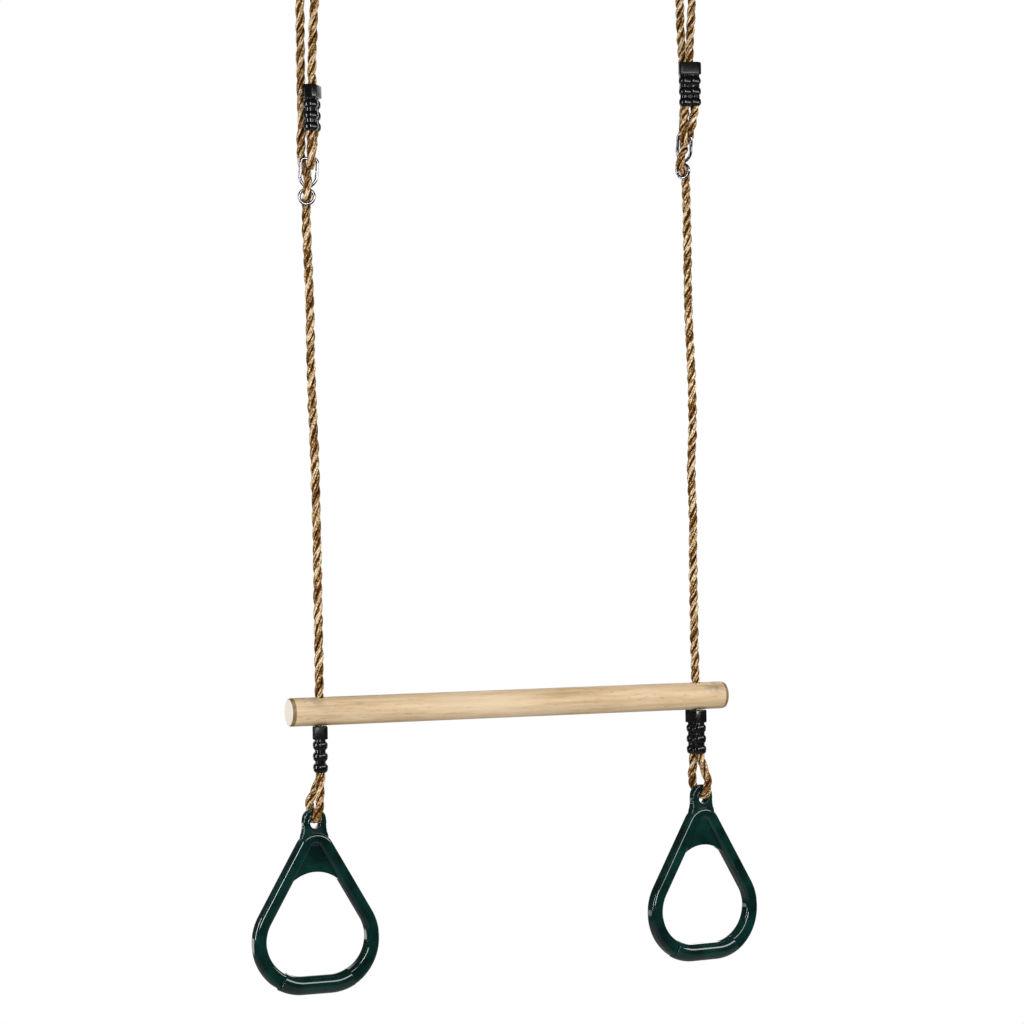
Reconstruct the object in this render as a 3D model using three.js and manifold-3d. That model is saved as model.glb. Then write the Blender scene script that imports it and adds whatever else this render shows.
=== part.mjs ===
// A wooden trapeze bar with two grip handles, hung from two steel rings by two adjustable ropes.
// Lengths are millimetres. X runs along the bar, -Y is the front and +Z is up.
// The origin lies midway between the centres of the two rings.
import * as THREE from 'three';
import { mergeVertices } from 'three/addons/utils/BufferGeometryUtils.js';
import Module from 'manifold-3d';

const wasm = await Module();
wasm.setup();

// The whole assembly
const hangHeight = 930;
const ringOutset = 2;
const clearance = 0.3;
const cutOverrun = 2;
const weldTolerance = 1e-4;

// Steel suspension rings
const ringInsideDiameter = 40;
const ringWireDiameter = 8;

// Rope
const ropeDiameter = 10.6;
const ropeSides = 8;
const routeStep = 1e-4;

// Wooden bar
const barLength = 580;
const barDiameter = 34;
const ropeInset = 39;
const barEdgeLength = 3.2;
const barEdgeHeight = 1.6;
const barHoleDiameter = 12.8;
const barEdgeShares = [[0, 0], [0.25, 0.55], [0.6, 0.88], [1, 1]];

// Moulded rope clamps
const clampWidth = 28;
const clampDepth = 18;
const clampBlockHeight = 16;
const clampCornerChamfer = 4;
const clampBlockEdge = 1.2;
const clampRibCount = 3;
const clampRibHeight = 10;
const clampRibGap = 3.3;
const clampRibEdge = 2.6;
const clampLobeRadius = 8.9;
const clampSpineWidth = 6;
const clampSpineDepth = 12;
const clampLegSpacing = 12;
const clampDeadEndDepth = 3;
const clampLegShares = [
  [0.15, 0.96],
  [0.5, 0.48],
  [0.82, 0.03],
  [1, 0],
];

// Rope loop between a lower clamp and its handle. Station shares: fall, spread, turn, sideways shift
const loopStationShares = [
  [0.3, 0.76, 0.5, 0.35],
  [0.62, 1.06, 1, 0.85],
];

// Wire rope adjusters
const adjusterWireDiameter = 4;
const adjusterLoopWidth = 19.6;
const adjusterLoopTop = 35;
const adjusterCornerRadius = 4.2;
const adjusterShoulder = 12;
const adjusterRingRadius = 8.8;
const adjusterWeldOverlap = 0.9;
const adjusterTaperShares = [[1, 1], [0.85, 0.6], [0.4, 0.12]];
const eyeOffset = 2.2;
const threadedPlaces = [
  [-10.2, 11.0, 38],
  [-7.0, 9.2, 25.5],
  [-2.0, 3.8, 17],
  [0, -2.8, 12],
  [0, -6.9, 6.4],
];

// Grip handles
const eyeletDiameter = 13.2;
const eyeletRimWidth = 2.8;
const eyeletRimHeight = 0.8;
const tabWidth = 28.4;
const tabThickness = 11;
const tabTopHeight = 17.5;
const tabEdge = 2;
const frameThickness = 18;
const frameEdge = 5;
const frameHalfWidth = 79;
const frameApexRadius = 24;
const frameCornerRadius = 64;
const legWidth = 16;
const frameApexDrop = 11.4;
const openingCornerRadius = 43;
const openingTop = 58.4;
const openingBottom = 181.5;
const openingArchRise = 15.7;
const webThickness = 8;
const webSink = 2;
const pocketRound = 6;
const gripDiameter = 22.4;
const gripHalfSpan = 44;
const gripCoreDiameter = 12;
const gripCoreSteps = 14;
const eyeletSides = 18;

// Each side: where its adjuster and handle hang, and how they are turned
// Upper routes: sideways, back and down from the rings
// Lower route: sideways, back and the share of the adjuster's height above the bar
const sides = {
  left: {
    at: -1,
    adjusterDrop: 306,
    adjusterPlace: [-5.8, -3],
    adjusterTurn: -20,
    adjusterTilt: 5,
    adjusterLean: 0,
    upperClampPlace: [1.1, -5],
    upperClampTurn: 52,
    upperClampRise: 32,
    standingRoute: [
      [-10.2, 1.8, 50],
      [-8.0, 7.2, 110],
      [-6.3, 12.6, 165],
      [-5.5, 14.4, 195],
      [-5.4, 14.2, 225],
    ],
    tailRoute: [
      [1.2, -5.0, 173],
      [2.2, -4.6, 152],
      [4.8, -3.2, 112],
      [8.8, -0.9, 60],
    ],
    lowerRoute: [
      [-5.6, 2.6, 0.92],
      [-4.8, 1.2, 0.85],
      [-3.9, 0.4, 0.77],
      [-3.6, 0.9, 0.67],
      [-2.6, 0.5, 0.58],
      [-1.2, -0.3, 0.48],
      [-0.3, -0.5, 0.38],
      [0.5, 0.2, 0.29],
      [0.1, 0.3, 0.19],
      [0.2, 0.1, 0.11],
    ],
    lowerClampTurn: -108,
    loopTurn: -82,
    loopDrop: 58,
    handleTurn: 0,
    handleOffset: -9.5,
  },
  right: {
    at: 1,
    adjusterDrop: 259,
    adjusterPlace: [-5.6, -2],
    adjusterTurn: -58,
    adjusterTilt: 10,
    adjusterLean: 8,
    upperClampPlace: [4.0, -5],
    upperClampTurn: -20,
    upperClampRise: 35,
    standingRoute: [
      [-5.2, 1.2, 45],
      [-2.2, 6.4, 85],
      [2.6, 12.2, 124],
      [4.2, 12.8, 155],
      [4.4, 12.8, 185],
    ],
    tailRoute: [
      [4.3, -5.0, 122],
      [5.3, -4.4, 105],
      [8.2, -2.8, 80],
      [11.4, -0.7, 48],
    ],
    lowerRoute: [
      [-0.4, 1.0, 0.91],
      [-0.8, 0.2, 0.83],
      [-1.4, -0.4, 0.76],
      [-0.3, 0.3, 0.69],
      [2.3, 0.8, 0.6],
      [2.4, 0.4, 0.51],
      [-1.0, -0.5, 0.42],
      [0.6, -0.2, 0.34],
      [-0.5, 0.2, 0.25],
      [-0.5, 0.2, 0.17],
      [-0.3, 0.1, 0.1],
    ],
    lowerClampTurn: -73,
    loopTurn: -66,
    loopDrop: 54.5,
    handleTurn: 6.5,
    handleOffset: 5,
  },
};

// Sizes worked out from those above
const ropeSpacing = barLength - 2 * ropeInset;
const ringWireRadius = ringWireDiameter / 2;
const ringRadius = ringInsideDiameter / 2 + ringWireRadius;
const ropeRadius = ropeDiameter / 2;
const bightRadius = ringWireRadius + ropeRadius + clearance;
const barRadius = barDiameter / 2;
const clampHeight = clampBlockHeight + clampRibCount * (clampRibGap + clampRibHeight);
const lowerClampTop = -barRadius - clearance;
const lowerClampBottom = lowerClampTop - clampHeight;
const legOffset = clampLegSpacing / 2;
const adjusterWireRadius = adjusterWireDiameter / 2;
const adjusterStandoff = adjusterWireRadius + ropeRadius + clearance;
const upperWire = adjusterWireRadius - adjusterWeldOverlap / 2;
const ringCentre = -upperWire - adjusterRingRadius;
const lowerWire = ringCentre - adjusterRingRadius;
const eyeletRadius = eyeletDiameter / 2;
const ropeInEyelet = eyeletRadius - ropeRadius - clearance;
const tabRadius = tabWidth / 2;
const loopStandoff = tabThickness / 2 + ropeRadius + eyeletRimHeight + clearance;
const openingHalfWidth = frameHalfWidth - legWidth;
const frameBottom = openingBottom + gripDiameter;
const gripLineRadius = (openingCornerRadius + frameCornerRadius) / 2;
const gripLineCentre = [
  (openingHalfWidth - openingCornerRadius + frameHalfWidth - frameCornerRadius) / 2,
  gripLineRadius - openingBottom - gripDiameter / 2,
];
const gripSeamAngle = Math.asin((gripHalfSpan - gripLineCentre[0]) / gripLineRadius);
const frameApex = -frameApexDrop - frameApexRadius;
const frameCorner = [frameHalfWidth - frameCornerRadius, frameCornerRadius - frameBottom];
const apexToCorner = Math.hypot(frameCorner[0], frameCorner[1] - frameApex);
const frameHalfAngle = Math.acos((frameApexRadius - frameCornerRadius) / apexToCorner)
  + Math.atan2(frameCorner[1] - frameApex, frameCorner[0]);
const openingCorner = [openingHalfWidth - openingCornerRadius, openingCornerRadius - openingBottom];
const pocketLine = openingCorner[0] * Math.cos(frameHalfAngle)
  + openingCorner[1] * Math.sin(frameHalfAngle) + openingCornerRadius;
const pocketApex = (pocketLine - pocketRound) / Math.sin(frameHalfAngle);
const tabFoot = (pocketApex + pocketRound - frameApexDrop) / 2;
const archFoot = -openingTop - openingArchRise;
const archReach = (pocketLine + webSink - archFoot * Math.sin(frameHalfAngle)) / Math.cos(frameHalfAngle);
const archHalfAngle = 2 * Math.atan(openingArchRise / archReach);
const archRadius = archReach / Math.sin(archHalfAngle);
const archCentre = -openingTop - archRadius;

// Materials
function finish(colour, roughness, metalness = 0) {
  return new THREE.MeshStandardMaterial({ color: colour, roughness, metalness });
}

const finishes = {
  steel: finish(0xb8bcc0, 0.3, 1),
  wire: finish(0xc9cdd2, 0.25, 1),
  rope: finish(0xb0864f, 0.85),
  wood: finish(0xd8bf96, 0.6),
  clamp: finish(0x111214, 0.3),
  handle: finish(0x0c3a30, 0.28),
};

// Boolean work on closed meshes
function solid(geometry) {
  const bare = geometry.clone();
  bare.deleteAttribute('normal');
  bare.deleteAttribute('uv');
  const merged = mergeVertices(bare, weldTolerance);
  const vertProperties = new Float32Array(merged.attributes.position.array);
  const triVerts = new Uint32Array(merged.index.array);
  return new wasm.Manifold(new wasm.Mesh({ numProp: 3, vertProperties, triVerts }));
}

function geometryOf(manifold) {
  const mesh = manifold.getMesh();
  const geometry = new THREE.BufferGeometry();
  geometry.setAttribute('position', new THREE.BufferAttribute(new Float32Array(mesh.vertProperties), 3));
  geometry.setIndex(new THREE.BufferAttribute(new Uint32Array(mesh.triVerts), 1));
  geometry.computeVertexNormals();
  return geometry;
}

// A round section with the given number of sides
function roundSection(diameter, count) {
  const points = [];
  for (let i = 0; i < count; i += 1) {
    const angle = (2 * Math.PI * (i + 0.5)) / count;
    points.push(new THREE.Vector2(Math.cos(angle), Math.sin(angle)).multiplyScalar(diameter / 2));
  }
  return new THREE.Shape(points);
}

// A tube with flat ends along a curve
function tube(curve, diameter, steps, count = ropeSides) {
  return new THREE.ExtrudeGeometry(roundSection(diameter, count), {
    steps,
    bevelEnabled: false,
    extrudePath: curve,
  });
}

// A stretch of a longer route, shortened a little at both ends
class Stretch extends THREE.Curve {
  constructor(route, from, to, trim) {
    super();
    this.route = route;
    this.from = from + trim / this.speed(from);
    this.to = to - trim / this.speed(to);
  }

  speed(t) {
    const low = Math.max(0, t - routeStep);
    const high = Math.min(1, t + routeStep);
    return this.route.getPoint(low).distanceTo(this.route.getPoint(high)) / (high - low);
  }

  getPoint(t, target = new THREE.Vector3()) {
    return target.copy(this.route.getPoint(this.from + (this.to - this.from) * t));
  }
}

// Unit vector in the horizontal plane, turned from +X
function heading(degrees) {
  const angle = THREE.MathUtils.degToRad(degrees);
  return new THREE.Vector3(Math.cos(angle), Math.sin(angle), 0);
}

// Height of an adjuster's waist above the bar's centre line
function adjusterHeight(side) {
  return hangHeight - side.adjusterDrop;
}

// The adjuster's own frame: X along its top bar, -Y its front, origin at the waist
function adjusterFrame(side) {
  const frame = new THREE.Matrix4().makeTranslation(...side.adjusterPlace, adjusterHeight(side));
  frame.multiply(new THREE.Matrix4().makeRotationZ(THREE.MathUtils.degToRad(side.adjusterTurn)));
  frame.multiply(new THREE.Matrix4().makeRotationY(THREE.MathUtils.degToRad(side.adjusterTilt)));
  frame.multiply(new THREE.Matrix4().makeRotationX(THREE.MathUtils.degToRad(side.adjusterLean)));
  return frame;
}

// Sideways place of a ring, measured from the rope hole below it
function ringPlace(side) {
  return side.at * ringOutset;
}

// Height of an eyelet's centre above the bar's centre line
function eyeletHeight(side) {
  return lowerClampBottom - side.loopDrop - ropeInEyelet;
}

// Height of an upper clamp's lower face above the bar's centre line
function upperClampBottom(side) {
  return adjusterHeight(side) + adjusterLoopTop + side.upperClampRise;
}

// Rope through a clamp, from the buried end down one channel
function deadLeg(place, turn, bottom, at) {
  const across = heading(turn).multiplyScalar(at * legOffset);
  const top = bottom + clampHeight - clampBlockHeight + clampDeadEndDepth;
  return [top, (top + bottom) / 2, bottom].map((z) => {
    return new THREE.Vector3(place[0], place[1], z).add(across);
  });
}

// Rope through a clamp, up the other channel and out at the middle of the top
function liveLeg(place, turn, bottom, at) {
  const across = heading(turn).multiplyScalar(at * legOffset);
  const ribTop = bottom + clampHeight - clampBlockHeight;
  const levels = [[bottom, 1], [(bottom + ribTop) / 2, 1]];
  for (const [rise, share] of clampLegShares) levels.push([ribTop + rise * clampBlockHeight, share]);
  return levels.map(([z, share]) => {
    return new THREE.Vector3(place[0], place[1], z).addScaledVector(across, share);
  });
}

// Points on an arc in a plane given by two directions
function arcPoints(centre, first, second, radius, fromDegrees, toDegrees, count) {
  const points = [];
  for (let i = 0; i <= count; i += 1) {
    const angle = THREE.MathUtils.degToRad(fromDegrees + ((toDegrees - fromDegrees) * i) / count);
    const point = centre.clone();
    point.addScaledVector(first, radius * Math.cos(angle));
    point.addScaledVector(second, radius * Math.sin(angle));
    points.push(point);
  }
  return points;
}

const alongX = new THREE.Vector3(1, 0, 0);
const alongY = new THREE.Vector3(0, 1, 0);
const alongZ = new THREE.Vector3(0, 0, 1);

// The eye of the tail round the adjuster's top bar, front leg last
function eyeRoute(side, frame) {
  const centre = new THREE.Vector3(eyeOffset, 0, adjusterLoopTop);
  const arc = arcPoints(centre, alongY, alongZ, adjusterStandoff, 0, -180, 6);
  const bottom = upperClampBottom(side);
  const start = deadLeg(side.upperClampPlace, side.upperClampTurn, bottom, 1);
  const end = liveLeg(side.upperClampPlace, side.upperClampTurn, bottom, -1);
  return [...start, ...arc.map((point) => point.applyMatrix4(frame)), ...end];
}

// The rope through the adjuster: behind the left wire, over the waist, out behind the ring
function threadedRoute(frame) {
  const waist = new THREE.Vector3(0, 0, -upperWire);
  const foot = new THREE.Vector3(0, 0, lowerWire);
  const span = waist.distanceTo(foot);
  const wrap = THREE.MathUtils.radToDeg(Math.asin((2 * adjusterStandoff) / span));
  const points = threadedPlaces.map((place) => new THREE.Vector3(...place));
  points.push(...arcPoints(waist, alongY, alongZ, adjusterStandoff, 180, 180 + wrap, 3));
  points.push(...arcPoints(foot, alongY, alongZ, adjusterStandoff, wrap, 0, 3));
  return points.map((point) => point.applyMatrix4(frame));
}

// The rope round one edge of the eyelet, from inside the hole to the face of the tab
function eyeletCorner(side, sign) {
  const facing = heading(side.handleTurn - 90).multiplyScalar(sign);
  const edge = new THREE.Vector3(side.handleOffset, 0, eyeletHeight(side) + eyeletRadius);
  edge.addScaledVector(facing, tabThickness / 2 + eyeletRimHeight);
  return arcPoints(edge, facing, alongZ, ropeRadius + clearance, -90, 0, 2);
}

// The loop through the handle's eyelet, from the live leg at the back to the buried end
function handleLoopRoute(side) {
  const down = liveLeg([0, 0], side.lowerClampTurn, lowerClampBottom, -1).reverse();
  const up = deadLeg([0, 0], side.lowerClampTurn, lowerClampBottom, 1).reverse();
  const leg = (sign) => loopStationShares.map(([fall, spread, turn, shift]) => {
    const degrees = side.lowerClampTurn + (side.loopTurn - side.lowerClampTurn) * turn;
    const point = new THREE.Vector3(side.handleOffset * shift, 0, lowerClampBottom - side.loopDrop * fall);
    return point.addScaledVector(heading(degrees), sign * loopStandoff * spread);
  });
  const middle = new THREE.Vector3(side.handleOffset, 0, lowerClampBottom - side.loopDrop);
  const back = [...leg(-1), ...eyeletCorner(side, -1).reverse()];
  const front = [...eyeletCorner(side, 1), ...leg(1).reverse()];
  return [...down.slice(1), ...back, middle, ...front, ...up];
}

// The whole rope of one side, as named stretches in order, each ending where the next begins
function ropeRoute(side) {
  const frame = adjusterFrame(side);
  const wireCentre = new THREE.Vector3(ringPlace(side), 0, hangHeight - ringRadius);
  const bight = arcPoints(wireCentre, alongX, alongZ, bightRadius, 0, 180, 6);
  const threaded = threadedRoute(frame);
  const hung = (route) => route.map(([x, y, drop]) => new THREE.Vector3(x, y, hangHeight - drop));
  const reach = adjusterHeight(side);
  const lower = side.lowerRoute.map(([x, y, share]) => new THREE.Vector3(x, y, share * reach));
  const barTop = new THREE.Vector3(0, 0, barRadius);
  const clampTop = new THREE.Vector3(0, 0, lowerClampTop);
  return [
    ['tail_eye', eyeRoute(side, frame), 32],
    ['tail_run', [...hung(side.tailRoute), bight[0]], 8],
    ['top_bight', bight.slice(1), 10],
    ['standing_run', [...hung(side.standingRoute), threaded[0]], 10],
    ['threaded_stretch', threaded.slice(1), 18],
    ['lower_run', [...lower, barTop], 22],
    ['bar_stretch', [new THREE.Vector3(), clampTop], 2],
    ['handle_loop', handleLoopRoute(side), 42],
  ];
}

// One curve per named stretch, each a clearance away from the next
function ropeStretches(side) {
  const parts = ropeRoute(side);
  const points = parts.flatMap(([, places]) => places);
  const route = new THREE.CatmullRomCurve3(points, false, 'centripetal');
  const last = points.length - 1;
  const stretches = {};
  let from = 0;
  let count = 0;
  for (const [name, places, steps] of parts) {
    count += places.length;
    const to = (count - 1) / last;
    stretches[name] = { curve: new Stretch(route, from, to, clearance / 2), steps };
    from = to;
  }
  return stretches;
}

// A steel ring that lies in the plane across the bar
function suspensionRing(side) {
  const geometry = new THREE.TorusGeometry(ringRadius, ringWireRadius, 8, 30);
  return geometry.rotateY(Math.PI / 2).translate(ringPlace(side), 0, hangHeight);
}

// The turned bar with its two rope holes
function bar() {
  const half = barLength / 2;
  const edge = barEdgeShares.map(([run, rise]) => {
    const radius = barRadius - barEdgeHeight * (1 - rise);
    return new THREE.Vector2(radius, half - barEdgeLength * run);
  });
  const foot = edge.map((point) => new THREE.Vector2(point.x, -point.y));
  const profile = [new THREE.Vector2(0, -half), ...foot, ...edge.reverse(), new THREE.Vector2(0, half)];
  const round = new THREE.LatheGeometry(profile, 36).rotateZ(-Math.PI / 2);
  let body = solid(round);
  for (const at of [-1, 1]) {
    const height = barDiameter + 2 * cutOverrun;
    const hole = new THREE.CylinderGeometry(barHoleDiameter / 2, barHoleDiameter / 2, height, 16);
    hole.rotateX(Math.PI / 2).translate((at * ropeSpacing) / 2, 0, 0);
    body = body.subtract(solid(hole));
  }
  return geometryOf(body);
}

// A rectangle with cut corners, seen from above
function chamferedRectangle(width, depth, cut) {
  const x = width / 2;
  const y = depth / 2;
  const corners = [
    [x, y - cut],
    [x - cut, y],
    [cut - x, y],
    [-x, y - cut],
    [-x, cut - y],
    [cut - x, -y],
    [x - cut, -y],
    [x, cut - y],
  ];
  return new THREE.Shape(corners.map(([px, py]) => new THREE.Vector2(px, py)));
}

// Two round lobes side by side with a shallow valley between them
function lobedOutline(width, radius) {
  const offset = width / 2 - radius;
  const valley = Math.acos(-offset / radius);
  const points = [];
  const count = 6;
  for (const at of [1, -1]) {
    for (let i = 0; i <= count; i += 1) {
      const angle = -valley + (2 * valley * i) / count;
      const x = offset + radius * Math.cos(angle);
      points.push(new THREE.Vector2(at * x, at * radius * Math.sin(angle)));
    }
    points.pop();
  }
  return new THREE.Shape(points);
}

// An upright slab with rounded rims, its foot at the given height
function slab(shape, height, edge, segments, foot) {
  const geometry = new THREE.ExtrudeGeometry(shape, {
    depth: height - 2 * edge,
    bevelEnabled: true,
    bevelThickness: edge,
    bevelSize: edge,
    bevelOffset: -edge,
    bevelSegments: segments,
    curveSegments: 8,
  });
  return geometry.translate(0, 0, foot + edge);
}

// A moulded clamp standing on the given height, with channels for its rope
function clamp(place, turn, bottom, ropeCurve, steps) {
  const ribTop = clampHeight - clampBlockHeight;
  const block = chamferedRectangle(clampWidth, clampDepth, clampCornerChamfer);
  let body = solid(slab(block, clampBlockHeight, clampBlockEdge, 1, ribTop));
  const spineHeight = ribTop + clampBlockEdge;
  const spine = new THREE.BoxGeometry(clampSpineWidth, clampSpineDepth, spineHeight);
  body = body.add(solid(spine.translate(0, 0, spineHeight / 2)));
  for (let i = 0; i < clampRibCount; i += 1) {
    const foot = i * (clampRibHeight + clampRibGap);
    const outline = lobedOutline(clampWidth, clampLobeRadius);
    body = body.add(solid(slab(outline, clampRibHeight, clampRibEdge, 1, foot)));
  }
  body = body.rotate([0, 0, turn]).translate([place[0], place[1], bottom]);
  const channel = tube(ropeCurve, ropeDiameter + 2 * clearance, steps);
  return geometryOf(body.subtract(solid(channel)));
}

// The bent-wire adjuster: a tall loop welded to a round ring
function adjuster(frame) {
  const loop = new THREE.Shape();
  const half = adjusterLoopWidth / 2;
  const rise = adjusterShoulder - upperWire;
  const taper = adjusterTaperShares.map(([x, z]) => [x * half, upperWire + z * rise]);
  const corner = adjusterCornerRadius;
  loop.moveTo(0, upperWire);
  for (const [x, z] of [...taper].reverse()) loop.lineTo(x, z);
  loop.lineTo(half, adjusterLoopTop - corner);
  loop.absarc(half - corner, adjusterLoopTop - corner, corner, 0, Math.PI / 2, false);
  loop.absarc(corner - half, adjusterLoopTop - corner, corner, Math.PI / 2, Math.PI, false);
  for (const [x, z] of taper) loop.lineTo(-x, z);
  loop.lineTo(0, upperWire);
  const outline = loop.getPoints(5).map((point) => new THREE.Vector3(point.x, 0, point.y));
  const places = outline.filter((point, i) => i === 0 || point.distanceTo(outline[i - 1]) > clearance);
  places.pop();
  const path = new THREE.CatmullRomCurve3(places, true, 'centripetal');
  const upper = new THREE.TubeGeometry(path, 36, adjusterWireRadius, 6, true);
  const lower = new THREE.TorusGeometry(adjusterRingRadius, adjusterWireRadius, 6, 22);
  lower.rotateX(Math.PI / 2).translate(0, 0, ringCentre);
  const body = solid(upper).add(solid(lower));
  return geometryOf(body).applyMatrix4(frame);
}

// The frame's outer outline: a rounded triangle, point up, measured from the eyelet's centre
function frameOutline() {
  const shape = new THREE.Shape();
  const [x, z] = frameCorner;
  shape.absarc(0, frameApex, frameApexRadius, frameHalfAngle, Math.PI - frameHalfAngle, false);
  shape.absarc(-x, z, frameCornerRadius, Math.PI - frameHalfAngle, 1.5 * Math.PI, false);
  shape.absarc(x, z, frameCornerRadius, -Math.PI / 2, frameHalfAngle, false);
  return shape;
}

// The inside of the two legs: two round corners and two straight sides that meet in a round apex
function legsOutline() {
  const shape = new THREE.Shape();
  const [x, z] = openingCorner;
  shape.absarc(x, z, openingCornerRadius, -Math.PI / 2, frameHalfAngle, false);
  shape.absarc(0, pocketApex, pocketRound, frameHalfAngle, Math.PI - frameHalfAngle, false);
  shape.absarc(-x, z, openingCornerRadius, Math.PI - frameHalfAngle, 1.5 * Math.PI, false);
  return shape;
}

// The thin web between the legs, sunk into them, with its arched lower edge
function webOutline() {
  const shape = new THREE.Shape();
  const archStart = Math.PI / 2 + archHalfAngle;
  const archEnd = Math.PI / 2 - archHalfAngle;
  shape.absarc(0, archCentre, archRadius, archStart, archEnd, true);
  shape.absarc(0, pocketApex, pocketRound + webSink, frameHalfAngle, Math.PI - frameHalfAngle, false);
  return shape;
}

// A flat slab with rounded rims, standing in the plane of the bar and centred on it
function uprightSlab(shape, thickness, edge, segments, curveSegments) {
  const geometry = new THREE.ExtrudeGeometry(shape, {
    depth: thickness - 2 * edge,
    bevelEnabled: true,
    bevelThickness: edge,
    bevelSize: edge,
    bevelOffset: -edge,
    bevelSegments: segments,
    curveSegments,
  });
  return solid(geometry.translate(0, 0, edge - thickness / 2).rotateX(Math.PI / 2));
}

// Centreline of the handle's bottom bar: a straight between two arcs that end past the seams
class BottomLine extends THREE.Curve {
  constructor(extra) {
    super();
    this.bend = gripLineRadius * gripSeamAngle + extra;
    this.length = 2 * (this.bend + gripLineCentre[0]);
  }

  getPoint(t, target = new THREE.Vector3()) {
    const [x, z] = gripLineCentre;
    const along = (t - 0.5) * this.length;
    const angle = Math.max(0, Math.abs(along) - x) / gripLineRadius;
    const reach = Math.min(Math.abs(along), x) + gripLineRadius * Math.sin(angle);
    return target.set(Math.sign(along) * reach, 0, z - gripLineRadius * Math.cos(angle));
  }
}

// The wedge between the two seams, from which the grip takes the frame's place
function gripWedge() {
  const far = gripLineRadius + frameCornerRadius;
  const [x, z] = gripLineCentre;
  const reach = [x + far * Math.sin(gripSeamAngle), z - far * Math.cos(gripSeamAngle)];
  const shape = new THREE.Shape([
    new THREE.Vector2(-x, z),
    new THREE.Vector2(-reach[0], reach[1]),
    new THREE.Vector2(reach[0], reach[1]),
    new THREE.Vector2(x, z),
  ]);
  const depth = frameThickness + 2 * cutOverrun;
  const geometry = new THREE.ExtrudeGeometry(shape, { depth, bevelEnabled: false });
  return solid(geometry.translate(0, 0, -depth / 2).rotateX(Math.PI / 2));
}

// The tab above the frame, with its rimmed eyelet still closed
function handleTab() {
  const shape = new THREE.Shape();
  const top = tabTopHeight - tabRadius;
  shape.moveTo(-tabRadius, tabFoot);
  shape.lineTo(tabRadius, tabFoot);
  shape.absarc(0, top, tabRadius, 0, Math.PI, false);
  const rimRadius = eyeletRadius + eyeletRimWidth;
  const rimLength = tabThickness + 2 * eyeletRimHeight;
  const rim = new THREE.CylinderGeometry(rimRadius, rimRadius, rimLength, eyeletSides);
  return uprightSlab(shape, tabThickness, tabEdge, 1, 8).add(solid(rim));
}

// The moulded frame, from its eyelet down to the core that runs through the grip
function handleFrame() {
  const outline = frameOutline();
  outline.holes.push(legsOutline());
  let body = uprightSlab(outline, frameThickness, frameEdge, 2, 8).subtract(gripWedge());
  const web = new THREE.ExtrudeGeometry(webOutline(), {
    depth: webThickness,
    bevelEnabled: false,
    curveSegments: 16,
  });
  body = body.add(solid(web.translate(0, 0, -webThickness / 2).rotateX(Math.PI / 2)));
  body = body.add(handleTab());
  body = body.add(solid(tube(new BottomLine(gripCoreDiameter), gripCoreDiameter, gripCoreSteps)));
  const hole = new THREE.CylinderGeometry(eyeletRadius, eyeletRadius, frameThickness, eyeletSides);
  return geometryOf(body.subtract(solid(hole)));
}

// The round grip moulded over the frame's core
function handleGrip() {
  const grip = solid(tube(new BottomLine(-clearance), gripDiameter, 12, 16));
  const core = tube(new BottomLine(gripCoreDiameter), gripCoreDiameter + 2 * clearance, gripCoreSteps);
  return geometryOf(grip.subtract(solid(core)));
}

// Everything on one side, placed from the rope hole of the bar
function sideGroup(name, side) {
  const group = new THREE.Group();
  group.position.x = (side.at * ropeSpacing) / 2;
  const add = (piece, geometry, material) => {
    const mesh = new THREE.Mesh(geometry, material);
    mesh.name = `${name}_${piece}`;
    group.add(mesh);
    return mesh;
  };
  const stretches = ropeStretches(side);
  for (const [piece, { curve, steps }] of Object.entries(stretches)) {
    add(piece, tube(curve, ropeDiameter, steps), finishes.rope);
  }
  const { tail_eye: eye, handle_loop: loop } = stretches;
  const upperPlace = side.upperClampPlace;
  const upperBottom = upperClampBottom(side);
  const upper = clamp(upperPlace, side.upperClampTurn, upperBottom, eye.curve, eye.steps);
  const lower = clamp([0, 0], side.lowerClampTurn, lowerClampBottom, loop.curve, loop.steps);
  add('suspension_ring', suspensionRing(side), finishes.steel);
  add('adjuster', adjuster(adjusterFrame(side)), finishes.wire);
  add('upper_clamp', upper, finishes.clamp);
  add('lower_clamp', lower, finishes.clamp);
  for (const [piece, geometry] of [['handle_frame', handleFrame()], ['handle_grip', handleGrip()]]) {
    const mesh = add(piece, geometry, finishes.handle);
    mesh.position.set(side.handleOffset, 0, eyeletHeight(side));
    mesh.rotation.z = THREE.MathUtils.degToRad(side.handleTurn);
  }
  return group;
}

const trapeze = new THREE.Group();
trapeze.position.z = -hangHeight;
const barMesh = new THREE.Mesh(bar(), finishes.wood);
barMesh.name = 'trapeze_bar';
trapeze.add(barMesh);
for (const [name, side] of Object.entries(sides)) trapeze.add(sideGroup(name, side));

export default trapeze;
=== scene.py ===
# %% [markdown]
# # A trapeze bar with two grip handles
#
# A turned wooden bar hangs from two laid ropes. Each rope doubles back over a steel ring,
# is locked by a bent-wire adjuster, passes down through the bar and ends in a black moulded
# clamp, whose loop carries a green triangular handle. The frame below is the imported CAD model:
# every piece made here stands for some of its nodes, and all but the ropes ride one of its bodies.
# Lengths are written in millimetres and turned to metres when a mesh is made.

# %%
# The imported frame and the library this lesson uses
import math
from functools import partialmethod

import bpy
import numpy as np
from mathutils import Matrix, Vector


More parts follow.
